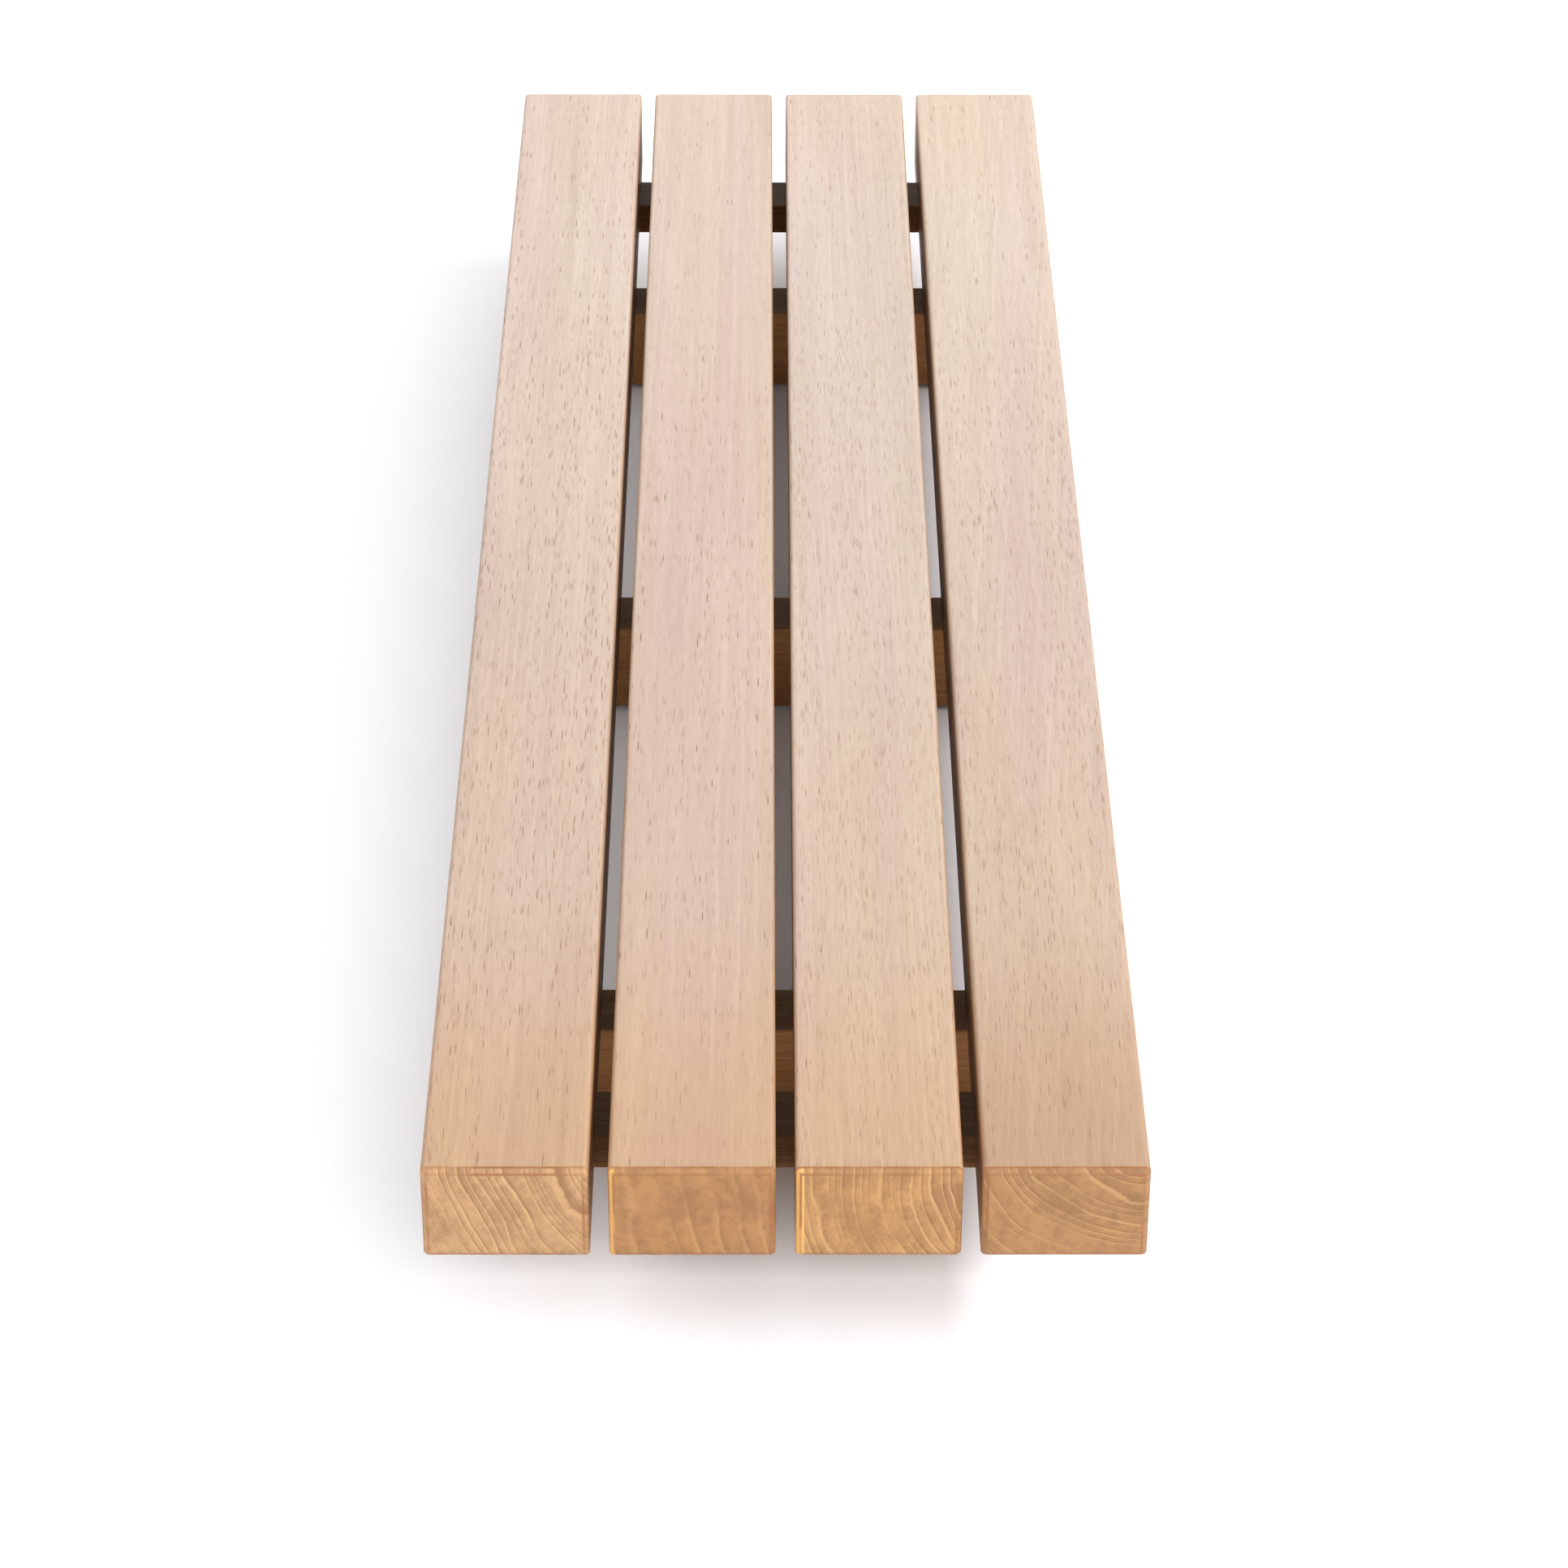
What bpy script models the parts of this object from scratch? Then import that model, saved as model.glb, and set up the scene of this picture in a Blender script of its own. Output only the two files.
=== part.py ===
"""A slatted hardwood bath mat: a duckboard of thick slats screwed to crosspieces.

Units are metres and +Z is up. The slats run along Y. The origin lies on the floor, below the
middle of the mat. Three bearers carry the slats. Two thin strips, let into the undersides of the
slats near their ends, keep the ends in line. Every screw is driven from below, so the top is plain.
"""

import math

import bmesh
import bpy
from mathutils import Matrix

# Clearance kept between two pieces that touch, rest on each other or fit together
FIT = 0.0003

# Slats
SLAT_COUNT = 4
SLAT_WIDTH = 0.060
SLAT_THICKNESS = 0.040
SLAT_LENGTH = 0.900
SLAT_GAP = 0.007
SLAT_EDGE_RADIUS = 0.003
SLAT_END_CHAMFER = 0.002

# Bearers, which cross below the slats
BEARER_WIDTH = 0.028
BEARER_HEIGHT = 0.040
BEARER_SIDE_INSET = 0.010
OUTER_BEARER_FROM_END = 0.153
BEARER_EDGE_RADIUS = 0.0015

# Strips, let into the undersides of the slats
STRIP_WIDTH = 0.028
STRIP_THICKNESS = 0.015
STRIP_FROM_END = 0.0525
STRIP_SIDE_INSET = 0.001
STRIP_EDGE_RADIUS = 0.0008

# Pan-head screws that hold the slats on the bearers
BEARER_SCREW_LENGTH = 0.050
BEARER_SCREW_RADIUS = 0.0025
PAN_HEAD_RADIUS = 0.0046
PAN_HEAD_HEIGHT = 0.0032
COUNTERBORE_RADIUS = 0.0055
COUNTERBORE_DEPTH = 0.015

# Countersunk screws that hold the end strips in the slats
STRIP_SCREW_LENGTH = 0.028
STRIP_SCREW_RADIUS = 0.002
COUNTERSUNK_HEAD_RADIUS = 0.004
COUNTERSUNK_HEAD_HEIGHT = 0.0024
COUNTERSUNK_HEAD_RECESS = 0.0004

# What all the screws share
SCREW_TIP_LENGTH = 0.005
SCREW_TIP_RADIUS = 0.0004
DRIVE_DEPTH = 0.0016
DRIVE_HALF_LENGTH = 0.0022
DRIVE_HALF_WIDTH = 0.0005
PILOT_END_ROOM = 0.001

# Rubber feet: rings around the outer counterbores
FOOT_HEIGHT = 0.0025
FOOT_RADIUS = 0.012
FOOT_BORE_CLEARANCE = 0.0005
FOOT_EDGE_RADIUS = 0.0006

# How finely round shapes are faceted
ROUND_STEPS = 12
FOOT_STEPS = 24
EDGE_SEGMENTS = 3

# Heights and places that follow from the sizes above
BEARER_BOTTOM = FOOT_HEIGHT + FIT
BEARER_TOP = BEARER_BOTTOM + BEARER_HEIGHT
SLAT_BOTTOM = BEARER_TOP + FIT
SLAT_PITCH = SLAT_WIDTH + SLAT_GAP
MAT_WIDTH = SLAT_COUNT * SLAT_WIDTH + (SLAT_COUNT - 1) * SLAT_GAP
OUTER_BEARER_Y = SLAT_LENGTH / 2 - OUTER_BEARER_FROM_END
STRIP_Y = SLAT_LENGTH / 2 - STRIP_FROM_END - STRIP_WIDTH / 2
BEARER_SCREW_SEAT = BEARER_BOTTOM + COUNTERBORE_DEPTH
BEARER_SCREW_TIP = BEARER_SCREW_SEAT + BEARER_SCREW_LENGTH
STRIP_SCREW_FACE = SLAT_BOTTOM + COUNTERSUNK_HEAD_RECESS
STRIP_SCREW_TIP = STRIP_SCREW_FACE + STRIP_SCREW_LENGTH

SLAT_X = [(index - (SLAT_COUNT - 1) / 2) * SLAT_PITCH for index in range(SLAT_COUNT)]
BEARER_Y = {"near": -OUTER_BEARER_Y, "middle": 0.0, "far": OUTER_BEARER_Y}
STRIP_Y_BY_END = {"near": -STRIP_Y, "far": STRIP_Y}
FOOT_X = {"left": SLAT_X[0], "right": SLAT_X[-1]}


def clear_scene():
    """Remove whatever the file holds."""
    for item in list(bpy.data.objects):
        bpy.data.objects.remove(item, do_unlink=True)


def new_collection(name):
    """Make a collection in the scene."""
    collection = bpy.data.collections.new(name)
    bpy.context.scene.collection.children.link(collection)
    return collection


def new_material(name, color, roughness, metallic=0.0):
    """Make a Principled material of one colour."""
    material = bpy.data.materials.new(name)
    material.use_nodes = True
    shader = material.node_tree.nodes["Principled BSDF"]
    shader.inputs["Base Color"].default_value = (*color, 1.0)
    shader.inputs["Roughness"].default_value = roughness
    shader.inputs["Metallic"].default_value = metallic
    return material


def new_object(name, mesh, collection, location=(0.0, 0.0, 0.0)):
    """Place a mesh as a new object."""
    item = bpy.data.objects.new(name, mesh)
    item.location = location
    collection.objects.link(item)
    return item


def as_cutter(item):
    """Mark an object as a cutting tool that isn't part of the mat."""
    item.hide_render = True
    item.display_type = "WIRE"
    return item


def box_mesh(name, size, centers=((0.0, 0.0, 0.0),)):
    """Make a mesh of equal boxes, one at each centre."""
    shape = bmesh.new()
    for center in centers:
        matrix = Matrix.Translation(center) @ Matrix.Diagonal((*size, 1.0))
        bmesh.ops.create_cube(shape, size=1.0, matrix=matrix)
    mesh = bpy.data.meshes.new(name)
    shape.to_mesh(mesh)
    shape.free()
    return mesh


def add_rod(shape, radius, start, end, x=0.0, y=0.0, top_radius=None):
    """Add a closed upright cylinder or cone to a bmesh, from height start to height end."""
    matrix = Matrix.Translation((x, y, (start + end) / 2))
    bmesh.ops.create_cone(
        shape,
        cap_ends=True,
        segments=ROUND_STEPS,
        radius1=radius,
        radius2=radius if top_radius is None else top_radius,
        depth=end - start,
        matrix=matrix,
    )


def add_bevel(item, width, segments=EDGE_SEGMENTS, by_weight=False):
    """Round an object's edges."""
    bevel = item.modifiers.new("rounded edges", "BEVEL")
    bevel.width = width
    bevel.segments = segments
    bevel.limit_method = "WEIGHT" if by_weight else "ANGLE"
    bevel.use_clamp_overlap = True
    return bevel


def add_cut(item, cutter):
    """Cut one object with another."""
    cut = item.modifiers.new("cut by " + cutter.name, "BOOLEAN")
    cut.operation = "DIFFERENCE"
    cut.solver = "EXACT"
    cut.object = cutter
    return cut


def add_turning(item, steps):
    """Turn an object's profile about its Z axis."""
    turning = item.modifiers.new("turned", "SCREW")
    turning.axis = "Z"
    turning.angle = math.tau
    turning.steps = steps
    turning.render_steps = steps
    turning.use_merge_vertices = True
    turning.merge_threshold = 0.00001
    turning.use_smooth_shade = True
    return turning


def profile_mesh(name, points, closed=False):
    """Make an open or closed outline in the XZ plane, listed from its top down its outer side."""
    count = len(points)
    edges = [(index, index + 1) for index in range(count - 1)]
    if closed:
        edges.append((count - 1, 0))
    mesh = bpy.data.meshes.new(name)
    mesh.from_pydata([(x, 0.0, z) for x, z in points], edges, [])
    return mesh


def slat_mesh():
    """Make the plain slat, with long edges marked for rounding and end edges for a small chamfer."""
    mesh = box_mesh("slat", (SLAT_WIDTH, SLAT_LENGTH, SLAT_THICKNESS))
    weights = mesh.attributes.new("bevel_weight_edge", "FLOAT", "EDGE")
    for edge in mesh.edges:
        first, second = (mesh.vertices[index].co for index in edge.vertices)
        runs_along_slat = abs(first.y - second.y) > SLAT_LENGTH / 2
        weights.data[edge.index].value = 1.0 if runs_along_slat else SLAT_END_CHAMFER / SLAT_EDGE_RADIUS
    return mesh


def housing_mesh():
    """Make the tool that cuts both housings for the end strips into one slat."""
    overcut = SLAT_GAP / 2
    depth = STRIP_THICKNESS + FIT
    size = (SLAT_WIDTH + 2 * overcut, STRIP_WIDTH + 2 * FIT, depth + overcut)
    height = -SLAT_THICKNESS / 2 + (depth - overcut) / 2
    return box_mesh("housing tool", size, [(0.0, y, height) for y in STRIP_Y_BY_END.values()])


def pilot_mesh():
    """Make the tool that drills all the blind pilot holes of one slat."""
    shape = bmesh.new()
    to_slat = -(SLAT_BOTTOM + SLAT_THICKNESS / 2)
    for y in BEARER_Y.values():
        end = BEARER_SCREW_TIP + PILOT_END_ROOM
        add_rod(shape, BEARER_SCREW_RADIUS + FIT, BEARER_BOTTOM + to_slat, end + to_slat, y=y)
    for y in STRIP_Y_BY_END.values():
        end = STRIP_SCREW_TIP + PILOT_END_ROOM
        add_rod(shape, STRIP_SCREW_RADIUS + FIT, BEARER_BOTTOM + to_slat, end + to_slat, y=y)
    mesh = bpy.data.meshes.new("pilot tool")
    shape.to_mesh(mesh)
    shape.free()
    return mesh


def make_slats(parts, tools, material):
    """Make the slats, each with two housings and its pilot holes."""
    mesh = slat_mesh()
    mesh.materials.append(material)
    housing = housing_mesh()
    pilots = pilot_mesh()
    for index, x in enumerate(SLAT_X, start=1):
        place = (x, 0.0, SLAT_BOTTOM + SLAT_THICKNESS / 2)
        slat = new_object(f"slat_{index}", mesh, parts, place)
        add_bevel(slat, SLAT_EDGE_RADIUS, by_weight=True)
        add_cut(slat, as_cutter(new_object(f"housing_tool_{index}", housing, tools, place)))
        add_cut(slat, as_cutter(new_object(f"pilot_tool_{index}", pilots, tools, place)))


def bearer_hole_meshes():
    """Make the tools that drill a bearer: the shank holes, and the counterbores below them."""
    floor = -(BEARER_BOTTOM + BEARER_HEIGHT / 2)
    holes = bmesh.new()
    counterbores = bmesh.new()
    for x in SLAT_X:
        add_rod(holes, BEARER_SCREW_RADIUS + FIT, floor, floor + SLAT_BOTTOM + SLAT_THICKNESS, x=x)
        add_rod(counterbores, COUNTERBORE_RADIUS, floor, floor + BEARER_SCREW_SEAT, x=x)
    meshes = []
    for name, shape in (("shank hole tool", holes), ("counterbore tool", counterbores)):
        mesh = bpy.data.meshes.new(name)
        shape.to_mesh(mesh)
        shape.free()
        meshes.append(mesh)
    return meshes


def make_bearers(parts, tools, material):
    """Make the bearers, drilled and counterbored from below."""
    size = (MAT_WIDTH - 2 * BEARER_SIDE_INSET, BEARER_WIDTH, BEARER_HEIGHT)
    mesh = box_mesh("bearer", size)
    mesh.materials.append(material)
    holes, counterbores = bearer_hole_meshes()
    for name, y in BEARER_Y.items():
        place = (0.0, y, BEARER_BOTTOM + BEARER_HEIGHT / 2)
        bearer = new_object(f"bearer_{name}", mesh, parts, place)
        add_bevel(bearer, BEARER_EDGE_RADIUS, segments=2)
        add_cut(bearer, as_cutter(new_object(f"counterbore_tool_{name}", counterbores, tools, place)))
        add_cut(bearer, as_cutter(new_object(f"shank_hole_tool_{name}", holes, tools, place)))


def strip_hole_meshes():
    """Make the tools that drill and countersink an end strip, in the strip's own frame."""
    bottom = -STRIP_THICKNESS / 2
    face = bottom + COUNTERSUNK_HEAD_RECESS
    holes = bmesh.new()
    countersinks = bmesh.new()
    for x in SLAT_X:
        add_rod(holes, STRIP_SCREW_RADIUS + FIT, bottom - STRIP_THICKNESS, STRIP_THICKNESS, x=x)
        slope = (COUNTERSUNK_HEAD_RADIUS - STRIP_SCREW_RADIUS) / COUNTERSUNK_HEAD_HEIGHT
        reach = COUNTERSUNK_HEAD_RECESS * 2
        add_rod(
            countersinks,
            COUNTERSUNK_HEAD_RADIUS + 2 * FIT + slope * reach,
            face - reach,
            face + COUNTERSUNK_HEAD_HEIGHT,
            x=x,
            top_radius=STRIP_SCREW_RADIUS + 2 * FIT,
        )
    meshes = []
    for name, shape in (("strip hole tool", holes), ("countersink tool", countersinks)):
        mesh = bpy.data.meshes.new(name)
        shape.to_mesh(mesh)
        shape.free()
        meshes.append(mesh)
    return meshes


def make_end_strips(parts, tools, material):
    """Make the end strips, flush with the undersides of the slats."""
    size = (MAT_WIDTH - 2 * STRIP_SIDE_INSET, STRIP_WIDTH, STRIP_THICKNESS)
    mesh = box_mesh("end strip", size)
    mesh.materials.append(material)
    holes, countersinks = strip_hole_meshes()
    for name, y in STRIP_Y_BY_END.items():
        place = (0.0, y, SLAT_BOTTOM + STRIP_THICKNESS / 2)
        strip = new_object(f"end_strip_{name}", mesh, parts, place)
        add_bevel(strip, STRIP_EDGE_RADIUS, segments=1)
        add_cut(strip, as_cutter(new_object(f"countersink_tool_{name}", countersinks, tools, place)))
        add_cut(strip, as_cutter(new_object(f"strip_hole_tool_{name}", holes, tools, place)))


def shank_points(radius, seat, tip):
    """List a screw shank's outline from its tip down to where the head starts."""
    return [(0.0, tip), (SCREW_TIP_RADIUS, tip), (radius, tip - SCREW_TIP_LENGTH), (radius, seat)]


def pan_screw_mesh():
    """Make the outline of a pan-head screw, with its seat at height zero and its tip up."""
    crown = PAN_HEAD_HEIGHT * 0.45
    points = shank_points(BEARER_SCREW_RADIUS, 0.0, BEARER_SCREW_LENGTH)
    points.append((PAN_HEAD_RADIUS, 0.0))
    points.append((PAN_HEAD_RADIUS, crown - PAN_HEAD_HEIGHT))
    points.append((PAN_HEAD_RADIUS * 0.72, -PAN_HEAD_HEIGHT))
    points.append((0.0, -PAN_HEAD_HEIGHT))
    return profile_mesh("pan-head screw", points)


def countersunk_screw_mesh():
    """Make the outline of a countersunk screw, with its flat face at height zero and its tip up."""
    points = shank_points(STRIP_SCREW_RADIUS, COUNTERSUNK_HEAD_HEIGHT, STRIP_SCREW_LENGTH)
    points.append((COUNTERSUNK_HEAD_RADIUS, 0.0))
    points.append((0.0, 0.0))
    return profile_mesh("countersunk screw", points)


def drive_meshes():
    """Make the two crossing slots of a screw's drive, centred on the face of its head."""
    long_side = 2 * DRIVE_HALF_LENGTH
    short_side = 2 * DRIVE_HALF_WIDTH
    height = 2 * DRIVE_DEPTH
    first = box_mesh("slot_tool_x", (long_side, short_side, height))
    second = box_mesh("slot_tool_y", (short_side, long_side, height))
    return first, second


def make_screws(parts, tools, material):
    """Make every screw, in rows of one screw for each slat."""
    pan = pan_screw_mesh()
    countersunk = countersunk_screw_mesh()
    for mesh in (pan, countersunk):
        mesh.materials.append(material)
    rows = [
        (f"bearer_{name}_screw", pan, y, BEARER_SCREW_SEAT - FIT, PAN_HEAD_HEIGHT)
        for name, y in BEARER_Y.items()
    ]
    rows += [
        (f"end_strip_{name}_screw", countersunk, y, STRIP_SCREW_FACE, 0.0)
        for name, y in STRIP_Y_BY_END.items()
    ]
    slots = drive_meshes()
    for row_name, mesh, y, height, face_drop in rows:
        for index, x in enumerate(SLAT_X, start=1):
            name = f"{row_name}_{index}"
            screw = new_object(name, mesh, parts, (x, y, height))
            add_turning(screw, ROUND_STEPS)
            for slot in slots:
                place = (x, y, height - face_drop)
                add_cut(screw, as_cutter(new_object(f"{name}_{slot.name}", slot, tools, place)))


def foot_mesh():
    """Make the outline of a ring foot, with rounded lower edges, standing on height zero."""
    bore = COUNTERBORE_RADIUS + FOOT_BORE_CLEARANCE
    edge = FOOT_EDGE_RADIUS
    points = [
        (bore, FOOT_HEIGHT),
        (FOOT_RADIUS, FOOT_HEIGHT),
        (FOOT_RADIUS, edge),
        (FOOT_RADIUS - edge, 0.0),
        (bore, 0.0),
    ]
    return profile_mesh("foot", points, closed=True)


def make_feet(parts, material):
    """Make the feet, one around each outer counterbore."""
    mesh = foot_mesh()
    mesh.materials.append(material)
    for row_name, y in BEARER_Y.items():
        for side, x in FOOT_X.items():
            foot = new_object(f"foot_{row_name}_{side}", mesh, parts, (x, y, 0.0))
            add_turning(foot, FOOT_STEPS)


def main():
    """Build the whole mat."""
    clear_scene()
    parts = new_collection("bath mat")
    tools = new_collection("cutting tools")
    slat_wood = new_material("oiled slat wood", (0.62, 0.42, 0.28), 0.60)
    frame_wood = new_material("brown frame wood", (0.26, 0.13, 0.06), 0.65)
    steel = new_material("stainless steel", (0.62, 0.62, 0.60), 0.32, metallic=1.0)
    rubber = new_material("black rubber", (0.02, 0.02, 0.02), 0.85)
    make_slats(parts, tools, slat_wood)
    make_bearers(parts, tools, frame_wood)
    make_end_strips(parts, tools, frame_wood)
    make_screws(parts, tools, steel)
    make_feet(parts, rubber)


main()
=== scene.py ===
"""Looks for the slatted bath mat: solid wood, screws, rubber feet, a pale floor and soft light."""

import math

import bmesh
import bpy
from mathutils import Matrix, Vector


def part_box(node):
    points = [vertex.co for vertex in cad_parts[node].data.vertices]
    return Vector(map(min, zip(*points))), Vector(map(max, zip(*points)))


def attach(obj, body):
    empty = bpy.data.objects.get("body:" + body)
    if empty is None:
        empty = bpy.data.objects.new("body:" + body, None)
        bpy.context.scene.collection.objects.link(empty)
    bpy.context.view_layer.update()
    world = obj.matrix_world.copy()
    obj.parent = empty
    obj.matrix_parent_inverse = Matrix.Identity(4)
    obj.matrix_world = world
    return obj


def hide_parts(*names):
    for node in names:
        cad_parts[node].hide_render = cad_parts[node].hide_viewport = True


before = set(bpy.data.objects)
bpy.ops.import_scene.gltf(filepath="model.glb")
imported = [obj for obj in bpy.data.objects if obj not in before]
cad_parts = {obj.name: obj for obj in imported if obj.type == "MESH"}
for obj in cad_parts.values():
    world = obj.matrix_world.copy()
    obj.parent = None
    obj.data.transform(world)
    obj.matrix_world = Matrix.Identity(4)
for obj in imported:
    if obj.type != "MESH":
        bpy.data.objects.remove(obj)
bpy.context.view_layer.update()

SLATS = ["slat_1", "slat_2", "slat_3", "slat_4"]
BEARERS = ["bearer_near", "bearer_middle", "bearer_far"]
STRIPS = ["end_strip_near", "end_strip_far"]
SCREW_NUMBERS = range(1, len(SLATS) + 1)

# Every size is in metres. The places and the outer sizes of the pieces come from the frame.

# Boards: rounded long edges, chamfered ends, and how far a sharp arris is softened. A board's sections
# lie STATION_STEP apart.
SLAT_EDGE_RADIUS = 0.0020
SLAT_END_CHAMFER = 0.002
BEARER_EDGE_RADIUS = 0.0016
BEARER_END_CHAMFER = 0.0016
STRIP_EDGE_RADIUS = 0.0010
STRIP_END_CHAMFER = 0.0008
SMALLEST_EDGE_RADIUS = 0.0005
EDGE_SEGMENTS = 7
FLAT_BESIDE_EDGE = 0.0006
ARRIS = 0.00022
STATION_STEP = 0.018

# Holes and housings. An OVERCUT is how far a cutter reaches past the surface that it opens.
HOUSING_ROOM = 0.0003
BEARER_HOLE_RADIUS = 0.0028
STRIP_HOLE_RADIUS = 0.0023
PILOT_PAST_TIP = 0.001
COUNTERBORE_RADIUS = 0.0055
COUNTERBORE_DEPTH = 0.015
COUNTERSINK_RADIUS = 0.0054
COUNTERSINK_TIP_RADIUS = 0.0026
COUNTERSINK_DEPTH = 0.0024
COUNTERSINK_OVERCUT = 0.0008
WIDE_HOLE_STEPS = 48
NARROW_HOLE_STEPS = 24
OVERCUT = 0.010
HOUSING_OVERCUT = 0.004
RECESS_OVERCUT = 0.001

# Screws
PAN_HEAD_HEIGHT = 0.0032
PAN_CROWN_HEIGHT = 0.0022
PAN_CROWN_STEPS = 8
PAN_NECK_RADIUS = 0.0026
PAN_ARRIS = 0.0002
PAN_THREAD = {"core": 0.0017, "crest": 0.0025, "pitch": 0.0024}
SUNK_HEAD_HEIGHT = 0.0024
SUNK_RIM_HEIGHT = 0.0004
SUNK_NECK_RADIUS = 0.0021
SUNK_ARRIS = 0.00015
SUNK_THREAD = {"core": 0.0014, "crest": 0.0020, "pitch": 0.0020}
NECK_HEIGHT = 0.0002
THREAD_STEPS = 20
ROWS_PER_TURN = 8
RECESS_WIDTH = 0.0011
RECESS_DEPTH = 0.0016

# Feet
FOOT_BORE_RADIUS = 0.006
FOOT_STEPS = 64
FOOT_ROUND = 0.0005
FOOT_TOP_ARRIS = 0.0002
TREAD_GROOVE = 0.0006
TREAD_PLACES = (0.0020, 0.0040)

# Angles in degrees above which an edge looks sharp
WOOD_SHARP_ANGLE = 32.0
STEEL_SHARP_ANGLE = 40.0
RUBBER_SHARP_ANGLE = 35.0


# ---------------------------------------------------------------- small helpers


def link(name, mesh, location=(0.0, 0.0, 0.0), turn=0.0):
    """Place a mesh as a new object, turned about Z."""
    item = bpy.data.objects.new(name, mesh)
    item.location = location
    item.rotation_euler = (0.0, 0.0, turn)
    bpy.context.scene.collection.objects.link(item)
    return item


def middle_and_size(node):
    """Give the centre and the size of a CAD node."""
    low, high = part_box(node)
    return (low + high) / 2, high - low


def finish_piece(item, node, material):
    """Give a piece its material and let it stand for a CAD node."""
    item.data.materials.clear()
    item.data.materials.append(material)
    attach(item, "root")
    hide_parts(node)


def new_mesh(name, shape):
    """Turn a bmesh into a mesh and free it."""
    mesh = bpy.data.meshes.new(name)
    shape.to_mesh(mesh)
    shape.free()
    return mesh


def turned_ring(shape, radius, height, steps):
    """Add a level ring of points around Z, or a single point where the radius is zero."""
    if radius == 0.0:
        return [shape.verts.new((0.0, 0.0, height))]
    angles = [math.tau * step / steps for step in range(steps)]
    return [shape.verts.new((radius * math.cos(a), radius * math.sin(a), height)) for a in angles]


def join_rings(shape, rings):
    """Join each ring to the next with faces, which are triangles where one of them is a point."""
    for ring, following in zip(rings, rings[1:]):
        total = max(len(ring), len(following))
        for index in range(total):
            after = (index + 1) % total
            if len(ring) == 1:
                corners = (ring[0], following[after], following[index])
            elif len(following) == 1:
                corners = (ring[index], ring[after], following[0])
            else:
                corners = (ring[index], ring[after], following[after], following[index])
            shape.faces.new(corners)


def cut_away(item, cutters):
    """Cut a mesh with other meshes, keep the result as plain mesh and remove the cutters."""
    for cutter in cutters:
        cut = item.modifiers.new("cut", "BOOLEAN")
        cut.operation = "DIFFERENCE"
        cut.solver = "EXACT"
        cut.object = cutter
    graph = bpy.context.evaluated_depsgraph_get()
    mesh = bpy.data.meshes.new_from_object(item.evaluated_get(graph))
    item.modifiers.clear()
    item.data = mesh
    for cutter in cutters:
        bpy.data.objects.remove(cutter, do_unlink=True)


def shade(mesh, angle):
    """Shade a mesh smooth, with sharp edges above an angle in degrees."""
    mesh.shade_smooth()
    mesh.set_sharp_from_angle(angle=math.radians(angle))


# ---------------------------------------------------------------- boards and cutters


def edge_radius(base, corner, y, seed):
    """Vary the radius of a long edge along a board, as hand sanding does."""
    phase = seed * 1.7 + corner * 2.1
    wave = 0.09 * math.sin(y * 21.0 + phase) + 0.05 * math.sin(y * 57.0 + 2.3 * phase)
    return base * (1.0 + wave)


def section(half_x, half_z, radii):
    """List the points of a rounded rectangle, with a short flat piece beside each round."""
    points = []
    quarter = math.pi / 2
    flat = min(FLAT_BESIDE_EDGE, half_z / 4)
    sides = ((1, 1), (-1, 1), (-1, -1), (1, -1))
    for corner, (side_x, side_z) in enumerate(sides):
        radius = radii[corner]
        center_x = side_x * (half_x - radius)
        center_z = side_z * (half_z - radius)
        start = corner * quarter
        stop = start + quarter
        first = (center_x + radius * math.cos(start), center_z + radius * math.sin(start))
        points.append((first[0] + flat * math.sin(start), first[1] - flat * math.cos(start)))
        for step in range(EDGE_SEGMENTS + 1):
            angle = start + quarter * step / EDGE_SEGMENTS
            x = center_x + radius * math.cos(angle)
            z = center_z + radius * math.sin(angle)
            points.append((x, z))
        last = points[-1]
        points.append((last[0] - flat * math.sin(stop), last[1] + flat * math.cos(stop)))
    return points


def board_mesh(name, size, radius, chamfer, seed):
    """Loft a board along Y through rounded sections, with chamfered ends and softened arrises."""
    half_x, half_y, half_z = size[0] / 2, size[1] / 2, size[2] / 2
    # how far each section of an end lies from the end, and how far it is drawn in
    ends = [
        (0.0, chamfer + 2.5 * ARRIS),
        (0.0, chamfer + 0.7 * ARRIS),
        (0.3 * ARRIS, chamfer),
        (ARRIS, chamfer - ARRIS),
        (chamfer - ARRIS, ARRIS),
        (chamfer, 0.3 * ARRIS),
        (chamfer + 0.7 * ARRIS, 0.0),
        (chamfer + 3 * ARRIS, 0.0),
    ]
    count = max(2, round((size[1] - 2 * chamfer) / STATION_STEP))
    start = chamfer + 3 * ARRIS
    span = size[1] - 2 * start
    stations = [(-half_y + back, inset) for back, inset in ends]
    stations += [(-half_y + start + span * step / count, 0.0) for step in range(1, count)]
    stations += [(half_y - back, inset) for back, inset in reversed(ends)]
    shape = bmesh.new()
    rings = []
    for y, inset in stations:
        radii = [edge_radius(radius, corner, y, seed) - 0.6 * inset for corner in range(4)]
        radii = [max(value, SMALLEST_EDGE_RADIUS) for value in radii]
        points = section(half_x - inset, half_z - inset, radii)
        rings.append([shape.verts.new((x, y, z)) for x, z in points])
    join_rings(shape, rings)
    shape.faces.new(rings[0])
    shape.faces.new(list(reversed(rings[-1])))
    bmesh.ops.recalc_face_normals(shape, faces=shape.faces)
    return new_mesh(name, shape)


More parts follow.
